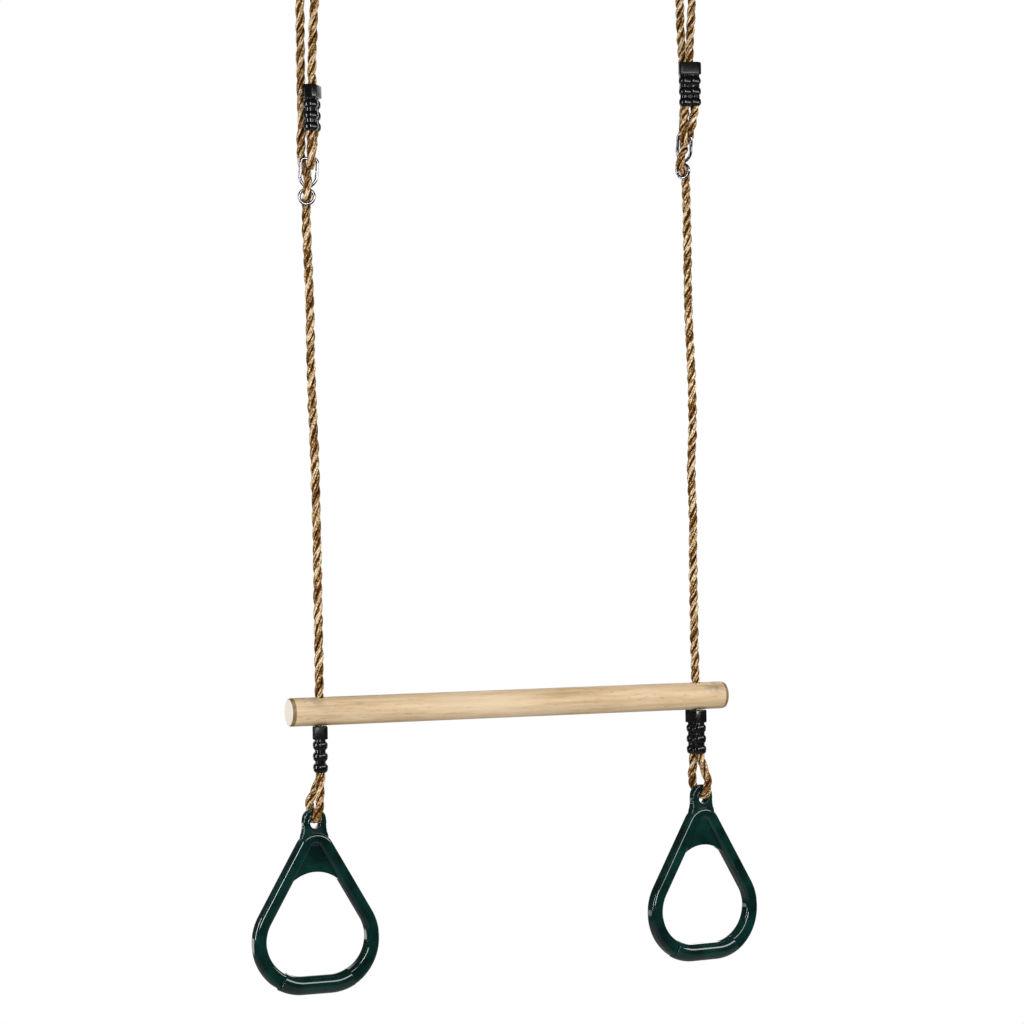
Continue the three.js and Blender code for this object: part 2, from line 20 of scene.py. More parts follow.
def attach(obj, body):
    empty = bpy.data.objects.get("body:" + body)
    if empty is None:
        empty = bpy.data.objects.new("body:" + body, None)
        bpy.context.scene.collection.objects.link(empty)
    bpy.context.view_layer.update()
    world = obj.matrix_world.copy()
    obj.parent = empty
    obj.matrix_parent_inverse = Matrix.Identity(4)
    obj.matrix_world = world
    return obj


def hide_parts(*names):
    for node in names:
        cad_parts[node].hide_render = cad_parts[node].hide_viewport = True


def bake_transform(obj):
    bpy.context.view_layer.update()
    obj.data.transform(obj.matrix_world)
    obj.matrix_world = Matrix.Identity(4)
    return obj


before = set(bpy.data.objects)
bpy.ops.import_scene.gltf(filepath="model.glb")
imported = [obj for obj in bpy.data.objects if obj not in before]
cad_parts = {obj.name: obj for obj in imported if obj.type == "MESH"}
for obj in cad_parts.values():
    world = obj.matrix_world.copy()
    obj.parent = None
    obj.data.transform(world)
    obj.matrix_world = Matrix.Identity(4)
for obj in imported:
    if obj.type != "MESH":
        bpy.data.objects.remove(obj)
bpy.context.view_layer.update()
MM = 0.001

# %% [markdown]
# ## The camera
#
# The photograph was taken from the left of the object with a long lens, so the bar rises
# slightly towards its far end. The place, direction and roll below put the bar, both ropes
# and both handles on the photograph's lines. The camera is turned by its three axes.

# %%
# A long lens at the photograph's angle
CAMERA_PLACE = (-1.48830, -3.43443, -0.71935)
CAMERA_TURNS = {"azimuth": 23.477, "pitch": -0.364, "roll": -0.956}


def camera_axes(azimuth, pitch, roll):
    """Forward leans by pitch below the horizon; right and up are then turned by roll."""
    forward = Vector((math.sin(azimuth) * math.cos(pitch), math.cos(azimuth) * math.cos(pitch),
                      -math.sin(pitch)))
    level = Vector((math.cos(azimuth), -math.sin(azimuth), 0.0))
    upright = level.cross(forward)
    right = level * math.cos(roll) + upright * math.sin(roll)
    return right, right.cross(forward), forward


right, up, forward = camera_axes(**{name: math.radians(v) for name, v in CAMERA_TURNS.items()})
camera = bpy.data.objects.new("camera", bpy.data.cameras.new("camera"))
camera.data.sensor_width = 36.0
camera.data.lens = 107.36
camera.data.clip_end = 50.0
axes = Matrix((right, up, -forward)).transposed().to_4x4()
camera.matrix_world = Matrix.Translation(CAMERA_PLACE) @ axes
bpy.context.scene.collection.objects.link(camera)
bpy.context.scene.camera = camera
print("camera up axis:", tuple(round(v, 4) for v in up))

# %% [markdown]
# ## Light and surroundings
#
# The object is shown alone on white, in soft studio light. A wide, low lamp hangs in front: its
# mirror image is the line along the top of each grip. A tall one stands left of the camera and
# draws the thin lines down the handles' left edges. Another, due left, lights the bar's end and
# the left side of every rope strand, and a weak one behind on the right lights the far edges.
# The world fills the shadows. The camera sees plain white all round. Glossy surfaces mirror the
# same white where the backdrop stands behind the object, but the rest of the room is dim, as a
# studio is: that keeps the dark plastic dark and gives the wire its dark lines.

# %%
# Short ways to add nodes and to do shader maths
class Value:
    """A socket that adds a Math node when + - * or ** is used on it."""

    def __init__(self, tree, socket):
        self.tree, self.socket = tree, socket

    def math(self, operation, *others, swapped=False):
        """A Math node of this value and the others, in reverse order if swapped."""
        values = [self, *others]
        if swapped:
            values.reverse()
        return add_node(self.tree, "ShaderNodeMath", {"operation": operation}, values)

    __add__ = partialmethod(math, "ADD")
    __sub__ = partialmethod(math, "SUBTRACT")
    __rsub__ = partialmethod(math, "SUBTRACT", swapped=True)
    __mul__ = partialmethod(math, "MULTIPLY")
    __pow__ = partialmethod(math, "POWER")


def add_node(tree, kind, settings=None, inputs=(), output=0):
    """A node of that type: its settings first, then values or links for its sockets."""
    node = tree.nodes.new(kind)
    for name, value in (settings or {}).items():
        if name == "stops":
            elements = node.color_ramp.elements
            for place, _ in value[2:]:
                elements.new(place)
            for element, (place, colour) in zip(elements, value):
                element.position, element.color = place, (*colour, 1.0)
        else:
            setattr(node, name, value)
    for name, value in inputs.items() if isinstance(inputs, dict) else enumerate(inputs):
        if isinstance(value, Value):
            tree.links.new(value.socket, node.inputs[name])
        else:
            node.inputs[name].default_value = value
    return Value(tree, node.outputs[output]) if node.outputs else node


def vector_math(operation, first, *others, output="Vector"):
    """A Vector Math node."""
    settings = {"operation": operation}
    return add_node(first.tree, "ShaderNodeVectorMath", settings, [first, *others], output)


def coordinates(place):
    """The X, Y and Z of a place."""
    node = add_node(place.tree, "ShaderNodeSeparateXYZ", {}, [place]).socket.node
    return [Value(place.tree, output) for output in node.outputs]


def attribute(tree, name, output="Fac"):
    """A field that is stored with the mesh."""
    return add_node(tree, "ShaderNodeAttribute", {"attribute_name": name}, output=output)


def noise(place, scale, detail, roughness=0.5):
    """Noise of that scale; one scale each for X, Y and Z stretches it."""
    if isinstance(scale, tuple):
        place, scale = vector_math("MULTIPLY", place, scale), 1.0
    inputs = {"Vector": place, "Scale": scale, "Detail": detail, "Roughness": roughness}
    return add_node(place.tree, "ShaderNodeTexNoise", {}, inputs)


def remap(value, low, high, start=0.0, end=1.0):
    """Start where the value is below low, end where it is above high, a straight line between."""
    inputs = {"Value": value, "From Min": low, "From Max": high, "To Min": start, "To Max": end}
    return add_node(value.tree, "ShaderNodeMapRange", {}, inputs)


def ramp(tone, *stops):
    """The colour that belongs to a tone, from stops of (tone, colour) in rising order."""
    return add_node(tone.tree, "ShaderNodeValToRGB", {"stops": stops}, [tone])


def mixed(share, first, second):
    """The first colour where the share is 0, the second where it is 1."""
    sockets = {0: share, 6: first, 7: second}
    return add_node(share.tree, "ShaderNodeMix", {"data_type": "RGBA"}, sockets, output=2)


def surface(colour, roughness, bump, height, **others):
    """Gives the material a surface with a bump of that (strength, distance) and height."""
    tree = colour.tree
    inputs = {"Strength": bump[0], "Distance": bump[1], "Height": height}
    normal = add_node(tree, "ShaderNodeBump", {}, inputs)
    inputs = {"Base Color": colour, "Roughness": roughness, "Normal": normal}
    inputs.update({name.replace("_", " "): value for name, value in others.items()})
    finish_material(tree, add_node(tree, "ShaderNodeBsdfPrincipled", {}, inputs))


def new_material(name):
    """An empty material and its node tree."""
    material = bpy.data.materials.new(name)
    material.use_nodes = True
    material.node_tree.nodes.clear()
    return material, material.node_tree


def finish_material(tree, shader):
    """Links a shader to the material's output."""
    add_node(tree, "ShaderNodeOutputMaterial", {}, {"Surface": shader})


def srgb(red, green, blue):
    """A colour of 0 to 255 as written on screen, as the linear values that nodes take."""
    parts = np.array([red, green, blue]) / 255.0
    linear = np.where(parts <= 0.04045, parts / 12.92, ((parts + 0.055) / 1.055) ** 2.4)
    return tuple(float(v) for v in linear)


# %%
# The world and the floor
BACKDROP_WAY, BACKDROP_EDGE, BACKDROP_WHITE, ROOM_DIM = (0.40, 0.92, 0.0), 0.78, 0.96, 0.03
FLOOR_SCALE, FLOOR_GLOW, GLOW_NEAR, GLOW_FAR = 0.4, 0.35, 0.8, 3.5
WHITE, PALE = (1, 1, 1, 1), (0.8, 0.8, 0.8, 1)


def light_path(tree, *kinds):
    """1 for rays of any of those kinds."""
    path = tree.nodes.new("ShaderNodeLightPath")
    first, *others = (Value(tree, path.outputs[kind]) for kind in kinds)
    for other in others:
        first = first.math("MAXIMUM", other)
    return first


def seen_white(tree, output, scale, glow=0.0):
    """1 for what the camera or glass sees. For mirrored rays it is 1 at the backdrop and dim in
    the room; a place or direction counts as backdrop by its share along BACKDROP_WAY, times a
    scale. The glow is a painted pool of light that mirrors see below the object, from GLOW_NEAR
    and fading to nothing at GLOW_FAR."""
    place = add_node(tree, "ShaderNodeTexCoord", output=output)
    way = vector_math("DOT_PRODUCT", place, BACKDROP_WAY, output="Value")
    mirrored = remap(way * scale, BACKDROP_EDGE, BACKDROP_WHITE, ROOM_DIM, 1.0)
    far = vector_math("LENGTH", place, output="Value")
    mirrored = mirrored.math("MAXIMUM", remap(far, GLOW_NEAR, GLOW_FAR, glow, 0.0))
    mirrored = mirrored * light_path(tree, "Is Glossy Ray")
    return light_path(tree, "Is Camera Ray", "Is Transmission Ray").math("MAXIMUM", mirrored)


def plain_world(fill):
    """White to the camera, a weaker white to matt surfaces."""
    world = bpy.data.worlds.new("studio")
    world.use_nodes = True
    tree = world.node_tree
    tree.nodes.clear()
    seen = seen_white(tree, "Generated", 1.0)
    matt = (1.0 - light_path(tree, "Is Camera Ray", "Is Transmission Ray", "Is Glossy Ray")) * fill
    shader = add_node(tree, "ShaderNodeBackground", {}, {"Color": WHITE, "Strength": seen + matt})
    add_node(tree, "ShaderNodeOutputWorld", {}, {"Surface": shader})
    bpy.context.scene.world = world


def studio_floor(height, reach):
    """A pale floor well below the object, white where the camera looks at it, with a painted pool
    of light under the object that only mirrors show.
    """
    mesh = bpy.data.meshes.new("floor")
    corners = [(x * reach, y * reach, height) for x, y in ((-1, -1), (1, -1), (1, 1), (-1, 1))]
    mesh.from_pydata(corners, [], [(0, 1, 2, 3)])
    floor = bpy.data.objects.new("floor", mesh)
    bpy.context.scene.collection.objects.link(floor)
    material, tree = new_material("floor_white")
    matt = add_node(tree, "ShaderNodeBsdfDiffuse", {}, {"Color": PALE})
    white = {"Color": WHITE, "Strength": seen_white(tree, "Object", FLOOR_SCALE, FLOOR_GLOW)}
    white = add_node(tree, "ShaderNodeEmission", {}, white)
    seen = light_path(tree, "Is Camera Ray", "Is Transmission Ray", "Is Glossy Ray")
    finish_material(tree, add_node(tree, "ShaderNodeMixShader", {}, [seen, matt, white]))
    floor.data.materials.append(material)


plain_world(fill=0.28)
studio_floor(height=-1.9, reach=12.0)


# %%
# Soft lamps
MIDDLE = (0.0, 0.0, -0.75)


def soft_lamp(name, place, aim, size, watts):
    """An oblong area lamp at a place, turned towards the point it lights."""
    lamp = bpy.data.lights.new(name, "AREA")
    lamp.shape, lamp.energy = "RECTANGLE", watts
    lamp.size, lamp.size_y = size
    holder = bpy.data.objects.new(name, lamp)
    holder.visible_camera = False
    facing = (Vector(aim) - Vector(place)).to_track_quat("-Z", "Y").to_matrix().to_4x4()
    holder.matrix_world = Matrix.Translation(place) @ facing
    bpy.context.scene.collection.objects.link(holder)


soft_lamp("low_front", (0.65, -1.25, -0.33), (0.1, 0.0, -0.9), (2.4, 0.42), 16.0)
soft_lamp("front_left", (-1.44, -2.6, -0.2), MIDDLE, (0.4, 1.3), 26.0)
soft_lamp("left", (-2.7, 0.1, -0.45), MIDDLE, (0.35, 1.5), 28.0)
soft_lamp("back_right", (1.6, 1.9, 0.2), MIDDLE, (0.5, 1.2), 6.0)

# %% [markdown]
# ## Grids into meshes
#
# Every solid piece below is a surface given by two parameters: one runs along or around the
# piece, the other around its section. The helper turns such a grid of points into a closed
# mesh: it wraps the directions that close on themselves and puts one face over each open end.

# %%
# A grid of points becomes a closed mesh
def full_turn(steps):
    """Evenly spaced angles round a circle, from 0."""
    return np.linspace(0, 2 * math.pi, steps, endpoint=False)


def grid_of(x, y, z):
    """A grid of points from arrays of their coordinates, along rows, columns or both."""
    return np.stack(np.broadcast_arrays(x, y, z), axis=-1)


def grid_faces(rows, columns, wrap_rows):
    """Four-sided faces between neighbouring rows and columns, as index arrays. The columns close
    on themselves, the rows where wrap_rows says so."""
    row = np.arange(rows if wrap_rows else rows - 1)[:, None]
    column = np.arange(columns)[None, :]
    row, next_row = row * columns, (row + 1) % rows * columns
    next_column = (column + 1) % columns
    corners = [row + column, row + next_column, next_row + next_column, next_row + column]
    return np.stack(corners, axis=-1).reshape(-1, 4)


def signed_volume(points, faces):
    """Six times the volume that the faces enclose; negative if they point inwards."""
    a, b, c, d = (points[faces[:, i]] for i in range(4))
    return np.einsum("ij,ij->", a, np.cross(b, c)) + np.einsum("ij,ij->", a, np.cross(c, d))


def make_piece(name, grids, material, sharp=40.0, fields=None):
    """One object from several grids of points in mm; each grid is (points, wrap_rows). Edges that
    turn by more than sharp degrees stay sharp, and a field has one value for each point."""
    vertices, faces, start = [], [], 0
    for points, wrap_rows in grids:
        rows, columns = points.shape[:2]
        flat = points.reshape(-1, 3)
        quads = grid_faces(rows, columns, wrap_rows)
        outward = signed_volume(flat - flat.mean(axis=0), quads) > 0
        faces += ((quads if outward else quads[:, ::-1]) + start).tolist()
        if not wrap_rows:
            first = start + np.arange(columns)
            last = first + (rows - 1) * columns
            ends = (first[::-1], last) if outward else (first, last[::-1])
            faces += [end.tolist() for end in ends]
        vertices.append(flat)
        start += len(flat)
    mesh = bpy.data.meshes.new(name)
    mesh.from_pydata((np.vstack(vertices) * MM).tolist(), [], faces)
    for field, values in (fields or {}).items():
        values = np.asarray(values, np.float32)
        kind, key = ("FLOAT_VECTOR", "vector") if values.ndim == 2 else ("FLOAT", "value")
        mesh.attributes.new(field, kind, "POINT").data.foreach_set(key, values.ravel())
    mesh.shade_smooth()
    mesh.set_sharp_from_angle(angle=math.radians(sharp))
    mesh.materials.append(material)
    piece = bpy.data.objects.new(name, mesh)
    bpy.context.scene.collection.objects.link(piece)
    return piece


# %% [markdown]
# ## The ropes' routes
#
# One rope runs through each side: a buried end in the upper clamp, the eye round the wire
# adjuster, the tail up to the ring, the bight over it, the standing run, the S through the
# adjuster, the long run to the bar, the bar's hole and the clamp and loop below. The points
# are the CAD route's own, from each rope hole. One smooth line runs through all of them, so
# the twist goes on from one stretch to the next.

# %%
# Points of the two routes, in mm from each rope hole, top of the ring at zero
HOLE_X = {"left": -251.0, "right": 251.0}
ROUTES = {
    "left": {
        "upper": [(4.8, -0.3, -196.1), (4.8, -0.3, -217.5), (4.8, -0.3, -239), (1.7, 2.3, -271.3),
            (1.1, 1.5, -275.1), (-0.1, -1, -277.9), (-1.5, -4.6, -278.9), (-2.7, -8.2, -277.9),
            (-3.4, -10.9, -275.1), (-3.5, -11.9, -271.3), (-2.6, -9.7, -239), (-2.6, -9.7, -219),
            (-2.4, -9.5, -196.7), (-0.7, -7.3, -191.1), (1, -5.1, -186), (1.1, -5, -183.1), (1.2, -5, -173),
            (2.2, -4.6, -152), (4.8, -3.2, -112), (8.8, -0.9, -60), (7.6, 0, -24), (6.3, 0, -19.2),
            (2.8, 0, -15.7), (-2, 0, -14.4), (-6.8, 0, -15.7), (-10.3, 0, -19.2), (-11.6, 0, -24),
            (-10.2, 1.8, -50), (-8, 7.2, -110), (-6.3, 12.6, -165), (-5.5, 14.4, -195), (-5.4, 14.2, -225),
            (-8.5, 9.7, -267.3), (-7.1, 7.3, -280), (-5, 0.7, -288.9), (-5.8, -6, -294),
            (-7.6, -9.7, -299.6), (-8.5, -10.1, -307.5), (-8.6, -9.6, -310.1), (-8.3, -8.3, -312.4),
            (-7.8, -6.4, -314.1), (-5.5, 1, -318.5), (-5, 2.9, -320.2), (-4.7, 4.2, -322.5),
            (-4.8, 4.7, -325.1)],
        "lower": [(-5.6, 2.6, -355.9), (-4.8, 1.2, -399.6), (-3.9, 0.4, -449.5), (-3.6, 0.9, -511.9),
            (-2.6, 0.5, -568.1), (-1.2, -0.3, -630.5), (-0.3, -0.5, -692.9), (0.3, 0.1, -749),
            (0.1, 0.3, -811.4), (0.2, 0.1, -861.4), (0, 0, -913), (0, 0, -930), (0, 0, -947.3)],
        "loop": [(0.1, 0.2, -950.2), (0.9, 2.7, -955.3), (1.8, 5.5, -960.9), (1.9, 5.7, -983.3),
            (1.9, 5.7, -1003.2), (-2.5, 9, -1020.6), (-9.8, 12.5, -1039.2), (-9.5, 11.9, -1055.6),
            (-9.5, 10.3, -1059.6), (-9.5, 6.3, -1061.2), (-9.5, 0, -1061.2), (-9.5, -6.3, -1061.2),
            (-9.5, -10.3, -1059.6), (-9.5, -11.9, -1055.6), (-6.3, -12.5, -1039.2), (-4.1, -9, -1020.6),
            (-1.9, -5.7, -1003.2), (-1.9, -5.7, -981.8), (-1.9, -5.7, -960.3)],
    },
    "right": {
        "upper": [(9.6, -7.1, -146.1), (9.6, -7.1, -167.5), (9.6, -7.1, -189), (1.1, -7.7, -224.2),
            (0.3, -7.4, -228.1), (-2, -8.2, -231.1), (-5.2, -9.9, -232.7), (-8.5, -12, -232.2),
            (-10.9, -14, -229.9), (-11.9, -15.4, -226.3), (-1.6, -2.9, -189), (-1.6, -2.9, -169),
            (-1.4, -3, -146.7), (1.3, -4, -141.1), (3.8, -4.9, -136), (4, -5, -133.1), (4.3, -5, -122),
            (5.3, -4.4, -105), (8.2, -2.8, -80), (11.4, -0.7, -48), (11.6, 0, -24), (10.3, 0, -19.2),
            (6.8, 0, -15.7), (2, 0, -14.4), (-2.8, 0, -15.7), (-6.3, 0, -19.2), (-7.6, 0, -24),
            (-5.2, 1.2, -45), (-2.2, 6.4, -85), (2.6, 12.2, -124), (4.2, 12.8, -155), (4.4, 12.8, -185),
            (-2.6, 3.7, -218.7), (-2.1, 2.9, -231.7), (-3.9, -2.1, -241.6), (-8.3, -6, -247.7),
            (-11.7, -6.9, -253.7), (-12, -5.5, -261.6), (-11.6, -4.7, -264), (-10.4, -3.5, -266.1),
            (-8.6, -2.2, -267.4), (-2, 2.7, -270.7), (-0.2, 4.1, -272.1), (0.9, 5.2, -274.2),
            (1.4, 6, -276.6)],
        "lower": [(-0.4, 1, -319.4), (-0.8, 0.2, -373.1), (-1.4, -0.4, -420), (-0.3, 0.3, -467),
            (2.3, 0.8, -527.4), (2.4, 0.4, -587.8), (-1, -0.5, -648.2), (0.6, -0.2, -701.9),
            (-0.3, 0.1, -762.3), (-0.3, 0.1, -815.9), (-0.3, 0.1, -862.9), (0, 0, -913), (0, 0, -930),
            (0, 0, -947.3)],
        "loop": [(-0.1, 0.2, -950.2), (-0.8, 2.8, -955.3), (-1.7, 5.5, -960.9), (-1.8, 5.7, -983.3),
            (-1.8, 5.7, -1003.2), (-1.4, 8.5, -1019.5), (-0.9, 11.5, -1037), (3.7, 11.8, -1052.1),
            (3.8, 10.2, -1056.1), (4.3, 6.3, -1057.7), (5, 0, -1057.7), (5.7, -6.3, -1057.7),
            (6.2, -10.2, -1056.1), (6.3, -11.8, -1052.1), (9.4, -11.5, -1037), (4.9, -8.5, -1019.5),
            (1.8, -5.7, -1003.2), (1.8, -5.7, -981.8), (1.8, -5.7, -960.3)],
    },
}


# %%
# One smooth line through each route
SPAN_STEPS = 40


def smooth_line(points, spacing):
    """Centripetal Catmull-Rom: each span is a cubic whose end slopes come from the points on
    either side, weighted by the square root of their distances. Returns evenly spaced
    stations and the arc length at each given point."""
    p = np.array(points, float)
    p = np.vstack([2 * p[0] - p[1], p, 2 * p[-1] - p[-2]])
    a, b, c, d = p[:-3], p[1:-2], p[2:-1], p[3:]
    t0, t1, t2 = (np.linalg.norm(v, axis=1, keepdims=True) ** 0.5 for v in (b - a, c - b, d - c))
    slope_b = ((b - a) / t0 - (c - a) / (t0 + t1) + (c - b) / t1) * t1
    slope_c = ((c - b) / t1 - (d - b) / (t1 + t2) + (d - c) / t2) * t1
    t = np.linspace(0, 1, SPAN_STEPS + 1)[None, :, None]
    b, c, slope_b, slope_c = (v[:, None, :] for v in (b, c, slope_b, slope_c))
    cubic = b + slope_b * t + (3 * (c - b) - 2 * slope_b - slope_c) * t**2
    cubic = cubic + (2 * (b - c) + slope_b + slope_c) * t**3
    dense = np.vstack([cubic[:, :-1].reshape(-1, 3), cubic[-1, -1:]])
    run = np.concatenate([[0], np.cumsum(np.linalg.norm(np.diff(dense, axis=0), axis=1))])
    stations = np.linspace(0, run[-1], int(run[-1] / spacing) + 1)
    line = np.stack([np.interp(stations, run, dense[:, i]) for i in range(3)], axis=1)
    return line, stations, run[::SPAN_STEPS]


def carried_frames(line):
    """Two cross directions at each station, carried along without turning about the line."""
    tangent = np.gradient(line, axis=0)
    tangent /= np.linalg.norm(tangent, axis=1, keepdims=True)
    across = np.empty_like(line)
    across[0] = np.cross(tangent[0], (0.0, 1.0, 0.0))
    for i in range(1, len(line)):
        across[i] = across[i - 1] - tangent[i] * (across[i - 1] @ tangent[i])
        across[i] /= np.linalg.norm(across[i])
    across[0] /= np.linalg.norm(across[0])
    return across, np.cross(tangent, across)


def side_line(side):
    """The whole rope of one side: its stations, their arc lengths and cross directions, and the
    arc lengths of the cuts between its stretches."""
    route = ROUTES[side]
    points = np.array(route["upper"] + route["lower"] + route["loop"]) + (HOLE_X[side], 0, 0)
    line, stations, at = smooth_line(points, spacing=1.0)
    upper, lower = len(route["upper"]), len(route["lower"])
    cuts = {"upper": at[upper - 1], "lower": at[upper + lower - 1]}
    return line, stations, carried_frames(line), cuts


LINES = {side: side_line(side) for side in ROUTES}
for side, (_, stations, _, cuts) in LINES.items():
    marks = {name: round(float(at)) for name, at in cuts.items()}
    print(side, "rope:", round(float(stations[-1])), "mm; cuts at", marks)

# %% [markdown]
# ## Laid rope
#
# The rope is three strands twisted to the right, of a hemp-coloured fibre. The left one has
# opened a little: it takes 57 mm to a turn, the right one 46.5. Its outline is the union of
# three circles that overlap at the middle, turned steadily along the line. A twisted tube like
# this shows the real lumps and valleys at its silhouette, which a bump map can't. Each point
# also stores where it lies in the straightened rope, so that the fibres can follow the rope
# round every bend, how deep in a valley it lies, and how light its strand is.

# %%
# The rope's outline and its three twisted strands
ROPE_DIAMETER = 11.2
ROPE_LAY = {"left": 57.0, "right": 46.5}
STRAND_TONE = np.array([0.09, 0.0, -0.09])
STRAND_RADIUS = 3.0
STRAND_OFFSET = ROPE_DIAMETER / 2 - STRAND_RADIUS
STRAND_SWELL, LAY_WANDER, EYELET_PRESS = 0.09, 0.3, 0.66
THIRD = 2 * math.pi / 3


def strand_radius_at(near):
    """Distance from the rope's middle to the union of three circles, at an angle p from the
    nearest strand: offset times cos p plus the root of radius squared minus (offset sin p) squared."""
    return STRAND_OFFSET * np.cos(near) + np.sqrt(STRAND_RADIUS**2 - (STRAND_OFFSET * np.sin(near)) ** 2)


def uneven(run):
    """A slow wander between -1 and 1 along the rope: the mean of three sines of unlike lengths."""
    return (np.sin(run / 5.3) + np.sin(run / 8.9 + 1.7) + np.sin(run / 14.1 + 0.6)) / 3


def rope_piece(name, side, first, last, eyelet_top=None, sides=36):
    """The stretch of a side's rope between two arc lengths, with its fields for the fibres. Below
    the eyelet's top it is pressed flatter: z = top + EYELET_PRESS (z - top)."""
    line, stations, (across, other), _ = LINES[side]
    keep = (stations >= first - 0.5) & (stations <= last + 0.5)
    run = stations[keep][:, None]
    turn = full_turn(sides)[None, :]
    near = (turn + THIRD / 2) % THIRD - THIRD / 2
    strand = (np.floor((turn + THIRD / 2) / THIRD) % 3).astype(int)
    radius = strand_radius_at(near)
    valley = 1 - (radius - radius.min()) / (radius.max() - radius.min())
    radius = radius * (1 + STRAND_SWELL * uneven(run * 1.3 + 61 * strand) * (1 - valley))
    angle = turn + 2 * math.pi * run / ROPE_LAY[side] + LAY_WANDER * uneven(run * 0.7)
    cos, sin = np.cos(angle)[..., None], np.sin(angle)[..., None]
    ring = across[keep][:, None] * cos + other[keep][:, None] * sin
    points = line[keep][:, None] + ring * radius[..., None]
    if eyelet_top is not None:
        pressed = eyelet_top + EYELET_PRESS * (points[..., 2] - eyelet_top)
        points[..., 2] = np.maximum(points[..., 2], pressed)
    fields = {"straight": grid_of(radius * np.cos(turn), radius * np.sin(turn), run).reshape(-1, 3)}
    around = np.arctan2(radius * np.sin(near), radius * np.cos(near) - STRAND_OFFSET)
    for field, values in (("valley", valley), ("around", around), ("tint", STRAND_TONE[strand])):
        fields[field] = np.broadcast_to(values, points.shape[:2]).ravel()
    return make_piece(name, [(points, False)], ROPE_FIBRE, 60.0, fields), line[keep] * MM


# %%
# Hemp-coloured fibre
def rope_material():
    """Fine yarns wound along each strand. Painted shade darkens the valleys to brown, and the
    near-white cream at the ramp's top is a painted highlight on the crowns and in small spots.
    """
    material, tree = new_material("rope_fibre")
    place = attribute(tree, "straight", "Vector")
    run = coordinates(place)[2]
    valley, around, tint = (attribute(tree, name) for name in ("valley", "around", "tint"))
    yarn = noise(place, (1.5, 1.5, 0.07), 3.0, 0.65)
    patch = noise(place, (0.35, 0.35, 0.11), 3.0)
    # Small random spots: the light ones are painted glints, the dark ones brown flecks
    speck_and_glint = noise(place, 0.55, 1.0)
    plies = (around * 4.2 + run * 0.30 + patch * 5.0).math("SINE")
    # Painted shade: valley ** 2.2 darkens the grooves; where the noise runs high the tone reaches the cream
    # top, a painted highlight
    tone = yarn * 1.7 + patch * 1.1 + speck_and_glint + plies * 0.09 + tint - (valley ** 2.2) * 0.66 - 1.29
    colour = ramp(tone, (0.04, srgb(38, 14, 1)), (0.26, srgb(80, 43, 10)),
                  (0.46, srgb(119, 77, 24)), (0.58, srgb(155, 112, 53)),
                  (0.72, srgb(222, 188, 138)), (0.84, srgb(255, 236, 202)))
    height = yarn * 0.8 + patch * 0.5 + plies * 0.25
    surface(colour, 0.6, (0.9, 0.0012), height, Specular_IOR_Level=0.1)
    return material


ROPE_FIBRE = rope_material()

# %% [markdown]
# ## The three stretches of each rope
#
# The upper stretch rises from the adjuster to the ring and back. The adjuster sets the length
# of the lower stretch, which runs down to the bar, and the loop hangs from the clamp's foot.

# %%
# Upper rope, lower rope and loop on both sides
UPPER_CLAMP_TOP = {"left": -183.1, "right": -133.1}
RING_MIDDLE, BAR_TOP, LOWER_CLAMP_FOOT = -24.0, -913.0, -1003.2
EYELET_TOP = {"left": -1055.6, "right": -1052.1}
BEND_ABOVE, BEND_BELOW, LOOP_GAP = 4, 14, 1.5


def declare_rope(piece, side, nodes, start, end):
    """Hides the CAD nodes that a stretch of rope stands for and bakes its place into the mesh.
    The heights start and end, in mm, are not used."""
    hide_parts(*[f"{side}_{node}" for node in nodes])
    start, end = ((HOLE_X[side] * MM, 0, level * MM) for level in (start, end))
    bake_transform(piece)


for side in ROUTES:
    _, stations, _, cuts = LINES[side]
    piece, path = rope_piece(f"{side}_upper_rope", side, 0.0, cuts["upper"])
    nodes = ["tail_eye", "tail_run", "top_bight", "standing_run", "threaded_stretch"]
    declare_rope(piece, side, nodes, RING_MIDDLE,
                 UPPER_CLAMP_TOP[side])
    piece, path = rope_piece(f"{side}_lower_rope", side, cuts["upper"], cuts["lower"])
    declare_rope(piece, side, ["lower_run", "bar_stretch"],
                 path[0][2] / MM, BAR_TOP)
    piece, path = rope_piece(f"{side}_loop_rope", side, cuts["lower"] + LOOP_GAP, stations[-1],
                             EYELET_TOP[side])
    declare_rope(piece, side, ["handle_loop"],
                 LOWER_CLAMP_FOOT + BEND_ABOVE, LOWER_CLAMP_FOOT - BEND_BELOW)

# %% [markdown]
# ## Shapes for hard pieces
#
# Three surfaces serve all the hard pieces. A tube puts a circle at each station of a line. A
# ring is a circle of circles. A slab stands on a flat outline and rounds its two rims with a
# quarter circle, so every moulded edge catches a narrow highlight as the real ones do.

# %%
# Tubes, rings and slabs as grids of points
# One more row of points, this far past a rounded edge, keeps the flat face's shading flat
RIM_SUPPORT, FACE_SUPPORT = 0.3, 0.4


def placed(points, turn, place):
    """Points turned about the upright axis by a number of degrees, then moved."""
    c, s = math.cos(math.radians(turn)), math.sin(math.radians(turn))
    return points @ np.array([[c, s, 0], [-s, c, 0], [0, 0, 1]]) + place


def tube(line, radius, sides):
    """At each station, radius * (across * cos a + other * sin a) for a from 0 to 2 pi."""
    across, other = carried_frames(line)
    turn = full_turn(sides)[None, :, None]
    return line[:, None] + (across[:, None] * np.cos(turn) + other[:, None] * np.sin(turn)) * radius


def wire_ring(radius, wire, rows=72, sides=16):
    """A ring in the upright plane along X: the circle of radius + wire * cos a, offset by wire * sin a."""
    u, a = full_turn(rows)[:, None], full_turn(sides)[None, :]
    reach = radius + wire * np.cos(a)
    return grid_of(reach * np.cos(u), wire * np.sin(a), reach * np.sin(u))


def arc(centre, radius, angles):
    """Points of a circle at these angles, in its own plane."""
    return np.array(centre) + radius * np.stack([np.cos(angles), np.sin(angles)], axis=-1)


